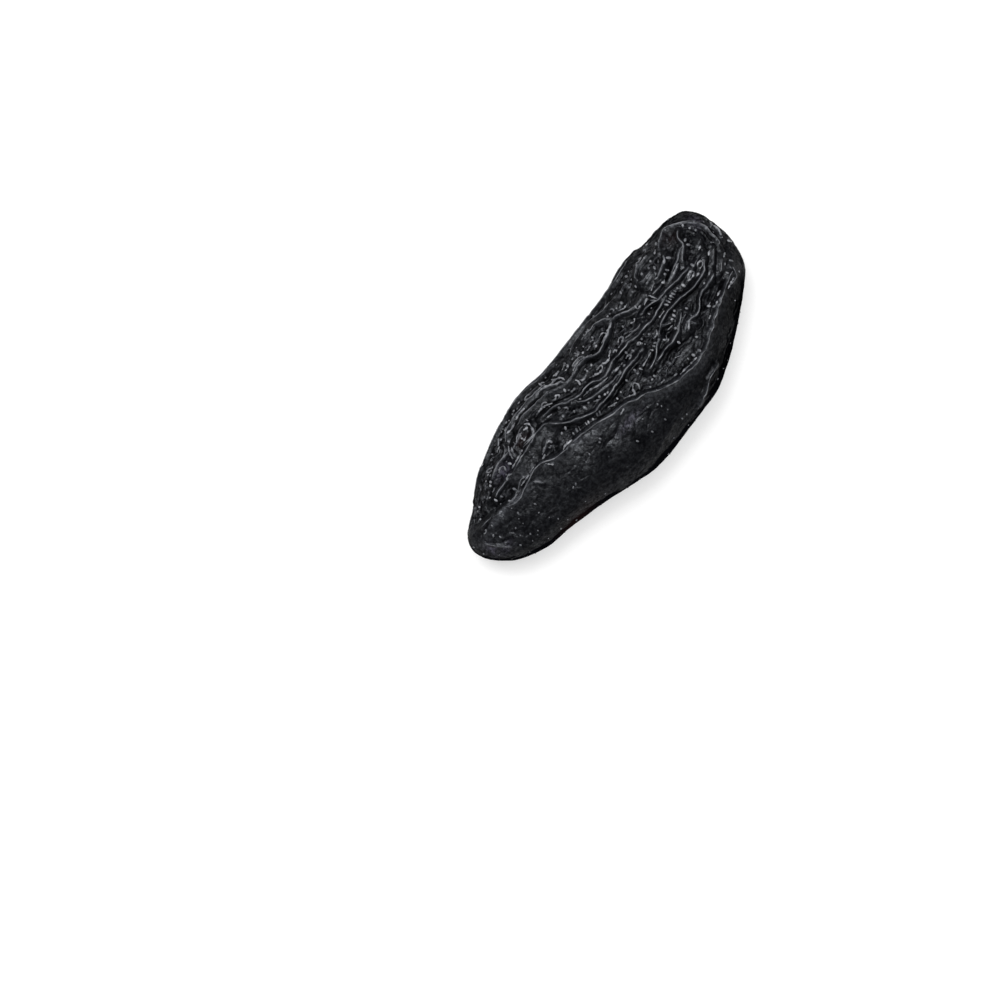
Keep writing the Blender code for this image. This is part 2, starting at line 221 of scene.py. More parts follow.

# Single beads, pale partly as coumarin frost and partly as painted glints
coatBeads = (
    -124, -26, -83, 50, -82, 53, -74, 23, -72, 23, -170, 35, -161, 43, -146, 28, -168, 22, -175, 24,
    -175, 15, -172, 9, -143, 9, -148, -1, -159, -6, -152, -13, -156, -19, -145, -17, -128, -18,
    -145, -30, -119, -34, -130, -34, -156, 2, -147, 5, -126, 1, -153, 20, -146, 34, -138, 47, -135, 49,
    -131, 55, -112, 26, -96, 66, -93, 59, -89, 36, -91, 30, -91, -19, -87, -19, -64, -14, -56, -12,
    -41, -13, -38, -11, -66, 57, -56, 22, -50, 22, -38, 39, -42, 31, -32, 25, -60, 12, -27, 6, -19, 28,
    -17, 19, -21, 45, -6, 14, -1, 11, 2, 10, 13, 8, 10, 0, 3, -1, 7, 39, 14, 39, 19, 53, -18, -42,
    -2, -48, 2, -33, 14, -30, 22, -36, 23, -40, 24, -47, 15, -51, 26, -64, 32, -65, 25, -73, 35, 2,
    34, -2, 38, -17, 42, -17, 31, -20, 49, 15, 63, 15, 71, 12, 62, 37, 73, 53, 80, 52, 88, 59, 97, 55,
    104, 64, 75, -33, 81, -35, 88, -37, 82, -16, 91, -5, 97, -27, 100, 4, 104, 6, 110, -10, 113, -2,
    128, -18, 129, 14, 127, 35, 132, 35, 126, 47, 129, 54, 128, 61, 141, 67, 142, 42, 150, 19, 143, -1,
    164, 34, 165, -13, 176, 50, 180, 37, 188, 30, 190, 12,
)

# Patches of colour on the back: real brown and frost, and painted shadow where the coat lies in shade; place,
# size and strength of each spot
coatPatches = {
    "brown": (
        ((-12.0, -4.4), (2.6, 0.7), 1.0), ((15.9, 5.2), (0.7, 0.5), 1.0), ((-8.5, 4.9), (0.9, 0.4), 1.0),
    ),
    "frost": (
        ((-18.6, 0.8), (0.5, 0.8), 1.0), ((-17.6, -0.2), (0.6, 0.4), 1.0), ((-11.9, 4.6), (0.9, 0.5), 1.0),
        ((-0.8, -2.4), (1.3, 0.4), 1.0), ((18.7, 4.3), (0.5, 0.7), 1.0),
    ),
    # painted shadow: flank that faces away from the light, a neighbour's shadow, and shadowed dents and
    # hollows
    "dark": (
        ((15.3, -3.9), (4.2, 1.5), 0.85), ((9.5, -6.2), (4.0, 1.4), 0.75), ((-1.6, -4.2), (0.5, 1.4), 0.6),
        ((-13.0, 3.6), (4.5, 1.8), 0.5), ((-8.0, 5.5), (4.5, 1.4), 0.5),
    ),
}

# Crests round the hidden side follow a rule: long lines that wander side by side, and some of them fork
belly = {
    "seed": 11,
    "angles": (-142, 8),      # degrees round the section
    "count": 12,
    "height": (0.24, 0.36),
    "starts": (-16.0, -9.0),
    "ends": (11.0, 17.5),
    "wander": 12.0,
    "wanderLength": 5.0,
    "forkChance": 0.6,
    "forkFirst": 3,
    "forkLength": 8,
    "forkSpread": 0.55,
    "forkBend": 0.7,
    "forkHeight": 0.75,
}

crestPaths = {
    "step": 0.15,
    "endHeight": 0.25,        # of the full height, at a crest's ends
    "growth": 0.13,           # share of a crest over which it grows
    "runGap": 40.0,           # keeps the noise of one crest apart from the next one's
    "topGap": 0.3,            # of the top lines above the coat, before they are laid on it
    "wander": ((0.22, 1.6), (0.09, 0.6)),    # how far the back's crests leave their curve, over what length
    "wanderSeed": 5,
}


def readCurve(stations, at):    # cubic curve through the stations (place, value)
    place, value = np.array(stations, float).T
    slope = np.gradient(value, place)
    i = np.clip(np.searchsorted(place, at) - 1, 0, len(place) - 2)
    step = place[i + 1] - place[i]
    t = (at - place[i]) / step
    eased = t * t * (3 - 2 * t)
    bend = step * (slope[i] * t * (1 - t) ** 2 - slope[i + 1] * t * t * (1 - t))
    return value[i] * (1 - eased) + value[i + 1] * eased + bend


def lean(x):    # the outline's ends are straight in this angle
    return np.arcsin(np.clip(np.asarray(x, float) / form["halfLength"], -1, 1))


def section(x):    # middle line and half width of the outline
    high, low = (
        readCurve([(float(lean(px)), py) for px, py in stations], lean(x))
        for stations in (wrinkledEdge, smoothEdge)
    )
    return (high + low) / 2, np.maximum((high - low) / 2, 0)


def coatPoint(x, angle):    # a point of the smooth coat, at this angle round the section
    middle, half = section(x)
    across, up = np.cos(angle), np.sin(angle)
    power = form["sectionPower"]
    reach = (np.abs(across) ** power + np.abs(up) ** power) ** (-1 / power)
    ratio = np.where(up > 0, form["backRatio"], form["bellyRatio"])
    return np.stack([x, middle + half * reach * across, half * ratio * reach * up], axis=-1)


def onBack(points):    # lifts points (x, y) onto the upper side
    x, y = points.T
    middle, half = section(x)
    power = form["sectionPower"]
    side = np.clip(np.abs((y - middle) / half), 0, form["sideLimit"])
    return np.stack([x, y, half * form["backRatio"] * (1 - side**power) ** (1 / power)], axis=-1)


def outward(points):    # the smooth coat's normal at points on it
    x, y, z = points.T
    middle = section(x)[0]
    ratio = np.where(z > 0, form["backRatio"], form["bellyRatio"])
    angle = np.arctan2(z / ratio, y - middle)
    step = form["normalStep"]
    along = coatPoint(x + step, angle) - coatPoint(x - step, angle)
    around = coatPoint(x, angle + step) - coatPoint(x, angle - step)
    normal = np.cross(around, along)
    return normal / np.linalg.norm(normal, axis=1)[:, None]


def pairs(tenths):    # points in mm
    return np.array(tenths, float).reshape(-1, 2) / 10


def finePath(points):    # close points along a curve through these
    run = np.concatenate([[0], np.cumsum(np.linalg.norm(np.diff(points, axis=0), axis=1))])
    at = np.linspace(0, run[-1], max(3, math.ceil(run[-1] / crestPaths["step"])))
    return np.stack([readCurve(np.stack([run, side], axis=-1), at) for side in points.T], axis=-1)


def backCrest(height, tenths):    # its top is seen at its points from above, so it stands a little inwards
    path = finePath(pairs(tenths))
    for reach, length in crestPaths["wander"]:
        path = path + reach * np.array([noise.noise_vector(Vector((*at, 0)) / length)[:2] for at in path])
    return onBack(path - max(height, 0) * outward(onBack(path))[:, :2])


def ramp(value, width):
    t = np.clip(value / width, 0, 1)
    return t * t * (3 - 2 * t)


def outside(points, place, size, fade):    # 0 in an ellipse seen from above, 1 outside it
    away = np.linalg.norm((points[:, :2] - np.array(place)) / np.array(size), axis=1)
    return ramp(away - 1, fade)


def bellyCrests():
    draw = random.Random(belly["seed"])
    first, last = belly["angles"]
    gap = (last - first) / (belly["count"] - 1)
    crests = []
    for row in range(belly["count"]):
        x = np.arange(draw.uniform(*belly["starts"]), draw.uniform(*belly["ends"]))
        places = [Vector((at / belly["wanderLength"], math.pi * row, belly["seed"])) for at in x]
        angle = first + gap * row + belly["wander"] * np.array([noise.noise(place) for place in places])
        height = draw.uniform(*belly["height"])
        crests.append((height, finePath(coatPoint(x, np.radians(angle)))))
        if draw.random() < belly["forkChance"]:
            start = draw.randrange(belly["forkFirst"], len(x) // 2)
            fork = slice(start, start + belly["forkLength"])
            spread = belly["forkSpread"] * gap * np.linspace(0, 1, belly["forkLength"]) ** belly["forkBend"]
            path = finePath(coatPoint(x[fork], np.radians(angle[fork] + spread)))
            crests.append((belly["forkHeight"] * height, path))
    return crests


def addObject(name, data):
    thing = bpy.data.objects.new(name, data)
    bpy.context.scene.collection.objects.link(thing)
    return thing


def addAttribute(mesh, name, values, kind="FLOAT"):
    attribute = mesh.attributes.new(name, kind, "POINT")
    attribute.data.foreach_set("vector" if kind == "FLOAT_VECTOR" else "value", np.ravel(values))


def meshPoints(mesh):
    flat = np.empty(3 * len(mesh.vertices), np.float32)
    mesh.vertices.foreach_get("co", flat)
    return flat.reshape(-1, 3).astype(float)


def movePoints(mesh, points):
    mesh.vertices.foreach_set("co", points.ravel())
    mesh.update()


def wireObject(name, paths):    # lines along paths in mm, and a single point where a path has only one
    points, edges = [], []
    for path in paths:
        first = len(points)
        points += [tuple(point * mm) for point in path]
        edges += [(i, i + 1) for i in range(first, len(points) - 1)]
    mesh = bpy.data.meshes.new(name)
    mesh.from_pydata(points, edges, [])
    return addObject(name, mesh)


def crestLines():    # lines of the crests' feet, which know their height, run and way, and of their tops
    noise.seed_set(crestPaths["wanderSeed"])
    crests = [(height, backCrest(height, tenths)) for height, tenths in backCrests + fineCrests]
    crests += bellyCrests()
    lines = wireObject("crestLines", [path for height, path in crests])
    heights, runs, ways = [], [], []
    for index, (height, path) in enumerate(crests):
        share = np.linspace(0, 1, len(path))
        grown = ramp(np.minimum(share, 1 - share), crestPaths["growth"])
        heights += list(height * (crestPaths["endHeight"] + (1 - crestPaths["endHeight"]) * grown))
        runs += list(crestPaths["step"] * np.arange(len(path)) + crestPaths["runGap"] * index)
        way = np.gradient(path, axis=0)
        ways += list(way / np.linalg.norm(way, axis=1)[:, None])
    addAttribute(lines.data, "crestHeight", heights)
    addAttribute(lines.data, "crestRun", runs)
    addAttribute(lines.data, "crestWay", np.array(ways), "FLOAT_VECTOR")
    tops = lines.data.copy()
    feet = meshPoints(tops) / mm
    lift = (np.maximum(heights, 0) + crestPaths["topGap"])[:, None] * outward(feet)
    movePoints(tops, (feet + lift) * mm)
    return lines, addObject("crestTops", tops)


def fieldMask(points):    # 1 in the wrinkled field, 0 on the smooth flank
    x, y, z = points.T
    above = y - readCurve(field["line"], x)
    wider = field["bluntBlend"] * ramp(x - field["blendStart"], field["blendLength"])
    back = ramp(above, field["fade"] + wider) * outside(points, *field["plateau"])
    under = ramp(above + field["bellyShift"], field["bellyFade"])
    tipEnd = ramp(x - field["tipStart"], field["tipFade"])
    cap = field["capShare"]
    bluntCap = cap + (1 - cap) * ramp(field["bluntStop"] - x, field["bluntFade"])
    return np.where(z > 0, back, under) * tipEnd * bluntCap


def brow(points, mask, width):    # 1 where the flank meets the field's line, 0 further down
    x, y, z = points.T
    below = np.maximum(readCurve(field["line"], x) - y, 0)
    ends = ramp(form["halfLength"] - np.abs(x), field["browFade"])
    return np.exp(-((below / width) ** 2)) * (1 - mask) * ends * ramp(z, field["browRise"])


def patch(points, spots):    # 1 in the middle of each spot on the back
    shares = [
        share * np.exp(-(((points[:, :2] - np.array(place)) / np.array(size)) ** 2).sum(axis=1))
        for place, size, share in spots
    ]
    return np.max(shares, axis=0) * (points[:, 2] > 0)


def smoothBean():    # the coat without its wrinkles, in the outline's own frame
    ball = bmesh.new()
    level = form["ballLevel"]
    bmesh.ops.create_icosphere(ball, subdivisions=level, radius=1)
    mesh = bpy.data.meshes.new("tonkaBean")
    ball.to_mesh(mesh)
    ball.free()
    unit = meshPoints(mesh)
    coat = coatPoint(form["halfLength"] * unit[:, 0], np.arctan2(unit[:, 2], unit[:, 1]))
    swell = [noise.noise(Vector(at)) for at in coat / np.array(form["swellSize"])]
    mask = fieldMask(coat)
    plateau = 1 - outside(coat, *field["plateau"])
    stopped = ramp(coat[:, 0] - field["browLightStop"], field["browLightFade"])
    # painted sheen on the flank just below the field's line, weaker on the plateau and past its stop
    light = field["browLight"] * (1 - field["browLightFlat"] * plateau)
    light = light * (1 - field["browLightLost"] * stopped)
    swell = form["swellHeight"] * np.array(swell) + field["browHeight"] * brow(coat, mask, field["browWidth"])
    values = {
        "field": mask,
        # the plateau, which the coat's material paints in shade
        "plateau": plateau * (coat[:, 2] > 0),
        "swell": swell,
        "brow": light * brow(coat, mask, field["browLightWidth"]),
        "wrinkled": np.where(coat[:, 2] < 0, outside(coat, *form["restSpot"]), 1.0),
    }
    values.update((name, patch(coat, spots)) for name, spots in coatPatches.items())
    for name, value in values.items():
        addAttribute(mesh, name, value)
    movePoints(mesh, coat * mm)
    mesh.shade_smooth()
    return addObject("tonkaBean", mesh)


# Node trees

class Flow:    # a node's output, so that the trees can be written as formulas
    def __init__(self, tree, socket):
        self.tree, self.socket = tree, socket

    def __getitem__(self, name):    # another output of the same node
        return Flow(self.tree, self.socket.node.outputs[name])

    def __add__(self, other):
        return calc("ADD", self, other)

    def __sub__(self, other):
        return calc("SUBTRACT", self, other)

    def __rsub__(self, other):
        return calc("SUBTRACT", other, self)

    def __mul__(self, other):
        return calc("MULTIPLY", self, other)

    def __truediv__(self, other):
        return calc("DIVIDE", self, other)

    __radd__ = __add__
    __rmul__ = __mul__


def feed(socket, value):
    if isinstance(value, Flow):
        value.tree.links.new(value.socket, socket)
    else:
        socket.default_value = value


def put(tree, kind, inputs=(), out=0, **settings):    # inputs go by their socket's name or number
    node = tree.nodes.new(kind)
    for key, value in settings.items():
        setattr(node, key, value)
    for key, value in dict(inputs).items():
        feed(node.inputs[key], value)
    return Flow(tree, node.outputs[out]) if node.outputs else None


def treeOf(values):
    return next(value.tree for value in values if isinstance(value, Flow))


def calc(operation, *values):
    return put(treeOf(values), "ShaderNodeMath", enumerate(values), operation=operation)


def most(first, *others):
    for other in others:
        first = calc("MAXIMUM", first, other)
    return first


def calcVector(operation, *values):
    return put(treeOf(values), "ShaderNodeVectorMath", enumerate(values), operation=operation)


def dot(a, b):
    return calcVector("DOT_PRODUCT", a, b)["Value"]


def scaled(vector, factor):
    return put(vector.tree, "ShaderNodeVectorMath", {0: vector, 3: factor}, operation="SCALE")


def combine(*axes):
    return put(treeOf(axes), "ShaderNodeCombineXYZ", enumerate(axes))


def axis(vector, name):
    return put(vector.tree, "ShaderNodeSeparateXYZ", {0: vector}, out=name)


def rescale(value, low, high, newLow=0.0, newHigh=1.0, kind="LINEAR"):
    inputs = {"Value": value, "From Min": low, "From Max": high, "To Min": newLow, "To Max": newHigh}
    return put(value.tree, "ShaderNodeMapRange", inputs, interpolation_type=kind)


def rise(value, low, high):    # smooth step from 0 at low to 1 at high
    return rescale(value, low, high, kind="SMOOTHSTEP")


def blend(share, least, more):    # least where share is 0, and this much more where it is 1
    return least + share * more


def between(value, low, middle, high):    # 0 at low and high, 1 in the middle
    return rise(value, low, middle) * (1 - rise(value, middle, high))


def bell(away, width, power):    # 1 on the line, falling to 0 beside it
    return calc("EXPONENT", calc("POWER", away / width, power) * -1.0)


def noiseAt(place, scale, detail=2.0, spread=0.5):    # 0 to 1
    inputs = {"Vector": place, "Scale": scale, "Detail": detail, "Roughness": spread}
    return put(place.tree, "ShaderNodeTexNoise", inputs)


def noiseField(place, size, detail, spread=0.5):    # about -0.5 to 0.5
    return noiseAt(calcVector("DIVIDE", place, size), 1.0, detail, spread) - 0.5


def newTree(name, kind, inputs, outputs):    # its inputs as flows, by name
    tree = bpy.data.node_groups.new(name, kind)
    for way, sockets in (("INPUT", inputs), ("OUTPUT", outputs)):
        for label, socket in sockets.items():
            tree.interface.new_socket(label, in_out=way, socket_type="NodeSocket" + socket)
    given = tree.nodes.new("NodeGroupInput")
    return tree, {socket.name: Flow(tree, socket) for socket in given.outputs}


def readNamed(tree, name, kind="FLOAT"):
    return put(tree, "GeometryNodeInputNamedAttribute", {"Name": name}, data_type=kind)


def keepNamed(geometry, name, value, kind="FLOAT"):
    inputs = {"Geometry": geometry, "Name": name, "Value": value}
    return put(geometry.tree, "GeometryNodeStoreNamedAttribute", inputs, data_type=kind, domain="POINT")


def shapeOf(thing):
    return put(thing.tree, "GeometryNodeObjectInfo", {"Object": thing}, out="Geometry")


def endTree(geometry, material):    # every tree ends in real geometry with its material
    tree = geometry.tree
    real = put(tree, "GeometryNodeRealizeInstances", {0: geometry})
    smooth = put(tree, "GeometryNodeSetShadeSmooth", {0: real})
    coated = put(tree, "GeometryNodeSetMaterial", {0: smooth, "Material": bpy.data.materials[material]})
    put(tree, "NodeGroupOutput", {0: coated})


# The coat's relief

coatValues = {
    "Crest Height": 1.0,       # times each crest's own height
    "Line Width": 0.17,        # the narrow top of a crest, mm
    "Foot Width": 0.60,        # its foot, mm
    "Groove Depth": 0.18,      # beside each crest, mm
    "Field Drop": 0.26,        # hollows between the crests, mm
    "Pillow Height": 0.18,     # soft lumps between the crests, mm
    "Second Line": 0.10,       # thin lines that run beside a crest here and there, mm
    "Fine Line": 0.10,         # small crests between the large ones, mm
    "Bead Height": 0.09,       # beads that lie across the grooves, mm
    "Bead Length": 0.36,
    "Bead Width": 0.30,
    "Rough Height": 0.04,      # small lumps on the floor of the hollows, mm
    "Dent Height": 0.20,       # soft dents of the smooth flank, mm
    "Leather Height": 0.045,   # small unevenness all over, mm
    "Crease Depth": 0.035,     # faint lines of the smooth flank, mm
    "Seed": 4.0,
}

coatBands = {    # mm from a crest's line where an effect starts, is full and, where it ends, is gone
    "groove": (0.14, 0.30, 0.50),
    "second": (0.40, 0.54, 0.68),
    "valley": (0.16, 0.32),
    "valleyEnd": (0.32, 1.5),
    "litSide": (0.1, 0.2, 0.7),
    "far": (0.40, 0.70),
    "hollow": (0.10, 0.80),
    "beads": (0.34, 0.62, 1.25),
}

coatNoises = {    # size along, across and up in mm, detail, spread, and the range that a patch fades over
    "pillow": ((2.6, 1.0, 1.0), 1.0, 0.5),
    "long": ((3.2, 1.1, 1.1), 1.0, 0.5),
    "short": ((1.1, 0.75, 0.75), 1.0, 0.5),
    "longPatch": ((4.5, 2.4, 2.4), 0.0, 0.5, 0.0, 0.08),
    "shortPatch": ((3.4, 1.8, 1.8), 0.0, 0.5, -0.05, 0.06),
    "beadPatch": ((2.4, 1.4, 1.4), 1.0, 0.5, -0.05, 0.05),
    "dents": ((2.4, 1.8, 1.8), 1.0, 0.5),
    "mottle": ((0.95, 0.75, 0.75), 2.0, 0.55),
    "crease": ((1.9, 1.0, 1.0), 1.0, 0.5),
    "creasePatch": ((3.9, 2.7, 2.7), 0.0, 0.5, -0.04, 0.08),
    "glow": ((3.0, 1.5, 1.5), 1.0, 0.5, -0.25, 0.15),
}

crestNoises = {    # speed along a crest, step from one side to the other, detail, and the range it fades over
    "swelling": (0.45, 0.0, 1.0, 0.35, 0.65),
    "broken": (0.90, 0.0, 2.0, 0.34, 0.50),
    "lopsided": (0.12, 11.0, 0.0, 0.36, 0.64),
    "secondPatch": (0.55, 7.0, 1.0, 0.56, 0.64),
}

paintedLightTones = {    # how strong the painted highlight on each form is, and the painted shade in each hollow, from 0 to 1
    "top": 0.45,
    "body": 0.16,
    "second": 0.5,
    "fineLine": 0.4,
    "bead": 0.5,
    "litSide": 0.7,
    "trough": 0.6,
    "beadGap": 0.7,
    "plateau": 0.55,
}

crestShape = {
    "broken": (0.45, 0.55),          # least of a crest's line, and what its noise adds
    "thick": (0.65, 1.15),
    "wideFoot": (0.62, 0.85),
    "linePower": 2.2,
    "footPower": 1.8,
    "lineShare": 0.6,
    "footShare": 0.4,
    "strong": (0.04, 0.26),          # height in mm, from where a crest has its grooves to where they are full
    "grooveLost": 0.8,               # on the crest's wide side
    "topLine": (0.11, 2.0),          # width in mm and power of the painted highlight line, and of the soft painted highlight round it
    "bodyLine": (0.23, 3.0),
}

fineShape = {
    "calm": (12.5, 15.5),            # x in mm, over which the blunt end's wrinkles give way to soft lobes
    "calmPillow": (2.0, 1.2),
    "calmLost": 0.7,
    "longLine": (0.012, 0.045),      # noise values beside zero, where a small crest ends and a trough begins
    "longTrough": (0.045, 0.085, 0.13),
    "shortLine": (0.010, 0.055),
    "shortTrough": (0.05, 0.09, 0.14),
    "troughDepth": 0.6,
    "bead": (0.10, 0.60),
    "beadOrder": 0.8,
    "lumpSize": (0.42, 0.28, 0.28),
    "lumpMiddle": 0.5,
    "crease": (0.0, 0.05),
    "mottle": 2.0,
}


def sampleLines(lines, index, value, kind="FLOAT"):
    inputs = {"Geometry": lines, "Value": value, "Index": index}
    return put(lines.tree, "GeometryNodeSampleIndex", inputs, data_type=kind, domain="POINT")


def voronoi(place, scale, feature, **inputs):
    inputs = {"Vector": place, "Scale": scale, **inputs}
    return put(place.tree, "ShaderNodeTexVoronoi", inputs, feature=feature)


def coatTree():
    inputs = {"Geometry": "Geometry", "Crest Lines": "Object", **dict.fromkeys(coatValues, "Float")}
    tree, given = newTree("coatRelief", "GeometryNodeTree", inputs, {"Geometry": "Geometry"})
    metres = put(tree, "GeometryNodeInputPosition")
    place = scaled(metres, 1 / mm)
    seeded = calcVector("ADD", place, combine(0.0, 0.0, given["Seed"]))
    normal = put(tree, "GeometryNodeInputNormal")
    inField, plateau, swell, wrinkled, browLight = (
        readNamed(tree, name) for name in ("field", "plateau", "swell", "wrinkled", "brow")
    )
    calm = rise(axis(place, "X"), *fineShape["calm"])
    noises = {}
    for name, (size, detail, spread, *fades) in coatNoises.items():
        value = noiseField(seeded, size, detail, spread)
        noises[name] = rise(value, *fades) if fades else value

    # the nearest crest, and the place along and beside it
    lines = shapeOf(given["Crest Lines"])
    inputs = {"Geometry": lines, "Sample Position": metres}
    index = put(tree, "GeometryNodeSampleNearest", inputs, domain="POINT")
    height, run = (sampleLines(lines, index, readNamed(tree, name)) for name in ("crestHeight", "crestRun"))
    way = sampleLines(lines, index, readNamed(tree, "crestWay", "FLOAT_VECTOR"), "FLOAT_VECTOR")
    spot = sampleLines(lines, index, metres, "FLOAT_VECTOR")
    inputs = {0: lines, "Sample Position": metres}
    away = put(tree, "GeometryNodeProximity", inputs, out="Distance", target_element="EDGES") * (1 / mm)
    offset = scaled(calcVector("SUBTRACT", metres, spot), 1 / mm)
    along = run + dot(offset, way)
    aside = dot(offset, calcVector("CROSS_PRODUCT", normal, way))
    side = calc("SIGN", aside)
    for name, (speed, step, detail, *fades) in crestNoises.items():
        noises[name] = rise(noiseAt(combine(along * speed, side * step), 1.0, detail), *fades)
    lopsided = noises["lopsided"]

    # the crest with its grooves and the thin second line
    whole = blend(noises["broken"], *crestShape["broken"])
    slim = away / blend(noises["swelling"], *crestShape["thick"])
    line = bell(slim, given["Line Width"], crestShape["linePower"]) * whole
    footWidth = given["Foot Width"] * blend(lopsided, *crestShape["wideFoot"])
    foot = bell(away, footWidth, crestShape["footPower"])
    profile = line * crestShape["lineShare"] + foot * crestShape["footShare"]
    crest = height * given["Crest Height"] * profile
    strength = rise(height, *crestShape["strong"])
    groove = between(away, *coatBands["groove"]) * strength * (1 - lopsided * crestShape["grooveLost"])
    second = between(away, *coatBands["second"]) * strength * noises["secondPatch"]
    valley = rise(slim, *coatBands["valley"]) * (1 - rise(away, *coatBands["valleyEnd"])) * strength
    far = rise(away, *coatBands["far"])
    hollow = rise(away, *coatBands["hollow"])
    pillow = noises["pillow"] * far * given["Pillow Height"] * blend(calm, *fineShape["calmPillow"])

    # small crests and troughs along the zero lines of two noises
    long, short, crease = (calc("ABSOLUTE", noises[name]) for name in ("long", "short", "crease"))
    shortPatch = noises["shortPatch"]
    longLine = (1 - rise(long, *fineShape["longLine"])) * noises["longPatch"]
    shortLine = (1 - rise(short, *fineShape["shortLine"])) * shortPatch
    trough = between(long, *fineShape["longTrough"]) + shortPatch * between(short, *fineShape["shortTrough"])
    fineLine = most(longLine, shortLine) * (1 - calm * fineShape["calmLost"])
    fine = (fineLine - trough * fineShape["troughDepth"]) * far * given["Fine Line"]

    # beads across the grooves, and lumps on the floor of the hollows
    beadPlace = combine(along / given["Bead Length"], aside / given["Bead Width"], given["Seed"])
    bead = 1 - rise(voronoi(beadPlace, 1.0, "F1", Randomness=fineShape["beadOrder"]), *fineShape["bead"])
    zone = between(away, *coatBands["beads"]) * noises["beadPatch"]
    beads = bead * zone * given["Bead Height"]
    lump = voronoi(calcVector("DIVIDE", seeded, fineShape["lumpSize"]), 1.0, "SMOOTH_F1")
    rough = (fineShape["lumpMiddle"] - lump) * far * given["Rough Height"]

    # dents, leather and creases all over
    mottle = noises["mottle"] * given["Leather Height"] * fineShape["mottle"]
    crease = (1 - rise(crease, *fineShape["crease"])) * noises["creasePatch"] * given["Crease Depth"]
    leather = noises["dents"] * given["Dent Height"] + mottle - crease

    raised = second * given["Second Line"] + fine + beads + rough + pillow
    sunk = groove * given["Groove Depth"] + hollow * given["Field Drop"]
    relief = (crest + (raised - sunk) * inField) * wrinkled
    move = scaled(normal, (relief + leather + swell) * mm)

    # masks for the material's painted highlights and painted shade, and for the grains
    top = bell(slim, *crestShape["topLine"]) * strength * whole * paintedLightTones["top"]
    body = bell(slim, *crestShape["bodyLine"]) * strength * whole * paintedLightTones["body"]
    small = most(
        second * paintedLightTones["second"], fineLine * far * paintedLightTones["fineLine"], bead * zone * paintedLightTones["bead"],
    )
    litSide = lopsided * between(away, *coatBands["litSide"]) * paintedLightTones["litSide"]
    gloom = most(
        valley * (1 - litSide), trough * far * paintedLightTones["trough"], (1 - bead) * zone * paintedLightTones["beadGap"],
    )
    geometry = given["Geometry"]
    # painted highlight on crest tops, small ridges, beads and the flank's brow; painted shade in grooves,
    # valleys, troughs and on the plateau
    geometry = keepNamed(geometry, "edge", most(top, body, browLight * noises["glow"], inField * small))
    geometry = keepNamed(geometry, "shade", most(inField * gloom, plateau * paintedLightTones["plateau"]))
    geometry = keepNamed(geometry, "away", away)
    geometry = keepNamed(geometry, "way", way, "FLOAT_VECTOR")
    endTree(put(tree, "GeometryNodeSetPosition", {"Geometry": geometry, "Offset": move}), "seedCoat")
    return tree


# Grains, pale partly as coumarin frost and partly as painted glints: pale folds and beads where the back
# shows them, rows and hooks between crests, lone beads all over, and thin pale lines on the crests' tops as
# painted highlights

grainValues = {
    "Fold Radius": 0.125,      # mm
    "Thread Radius": 0.055,    # of the sharp line on a crest's top
    "Bead Radius": 0.16,
    "Row Spacing": 0.38,
    "Row Density": 5.0,        # a square mm
    "Hook Spacing": 1.0,
    "Hook Density": 0.9,
    "Lone Spacing": 1.1,
    "Lone Density": 0.22,
    "Size": 0.13,              # half width of the other grains
    "Back Share": 0.25,        # of the scattered grains that stay on the back
    "Seed": 3,
}

grainKinds = (    # name, ranges of half width and of length over width, turn from the crest's way, share sunk
    ("Row", (0.55, 0.95), (1.1, 2.2), math.pi / 2, 0.30),
    ("Row", (0.55, 0.85), (1.0, 2.4), 0.0, 0.30),
    ("Hook", (0.70, 1.00), (1.1, 1.9), 0.0, 0.15),
    ("Hook", (0.70, 1.00), (1.1, 1.9), math.pi, 0.15),
    ("Lone", (0.35, 0.80), (0.9, 1.6), 0.0, 0.55),
)

grainPlaces = {
    "Row": (0.38, 0.52, 0.74),       # mm from a crest's line: start, full and end
    "Hook": (0.45, 0.70, 1.20),
    "patchSize": (2.4, 1.2, 1.2),
    "rowPatch": (-0.03, 0.02),
    "hookPatch": (0.0, 0.04),
    "back": (7.2, 8.4),              # z in mm, over which the traced back takes over
    "bluntLost": 0.8,
    "tip": (-15.0, -12.0),           # x in mm, over which the tip's few grains become many
    "tipShare": (0.35, 0.65),
    "dropHeight": 3.0,               # mm above the coat, from where what is traced drops onto it
    "pale": (0.0, 0.6),
    "paleSeed": 41,
    "girthSeed": 11,
    "lengthSeed": 21,
    "ball": {"Segments": 8, "Rings": 6, "Radius": mm},
}

hookValues = {"radius": 1.7, "turn": 4.4, "thick": 0.65, "steps": 8, "sides": 5}    # half widths, radians

beadValues = {    # the range that each bead draws from, with the draw's seed
    "girth": (0.55, 1.0, 31),
    "length": (1.0, 2.0, 32),
    "pale": (0.15, 1.0, 33),
    "fieldGirth": (0.62, 0.38),      # least share, and what the wrinkled field adds
    "fieldPale": (0.5, 0.5),
    "flat": 0.7,
}

# Pale threads on the crests' tops stand in for painted highlight lines
threadValues = {    # noise scales are lumps a mm
    "leastCrest": 0.11,       # mm, and lower crests have none
    "crest": (0.02, 0.26),    # a crest's height in mm, over which its thread grows to full girth
    "floor": (0.02, 0.25),    # z in mm, over which it fades in
    "unevenScale": 1.1,
    "uneven": (0.36, 0.60),
    "least": 0.15,
    "paleScale": 0.7,
    "paleShift": 20.0,        # mm, so that it isn't palest where it is thickest
    "pale": (0.40, 0.68),
    "back": (4.0, 7.5),       # z in mm, over which it turns paler
    "backPale": (0.3, 0.34),
    "thin": 0.05,
    "sides": 5,
}

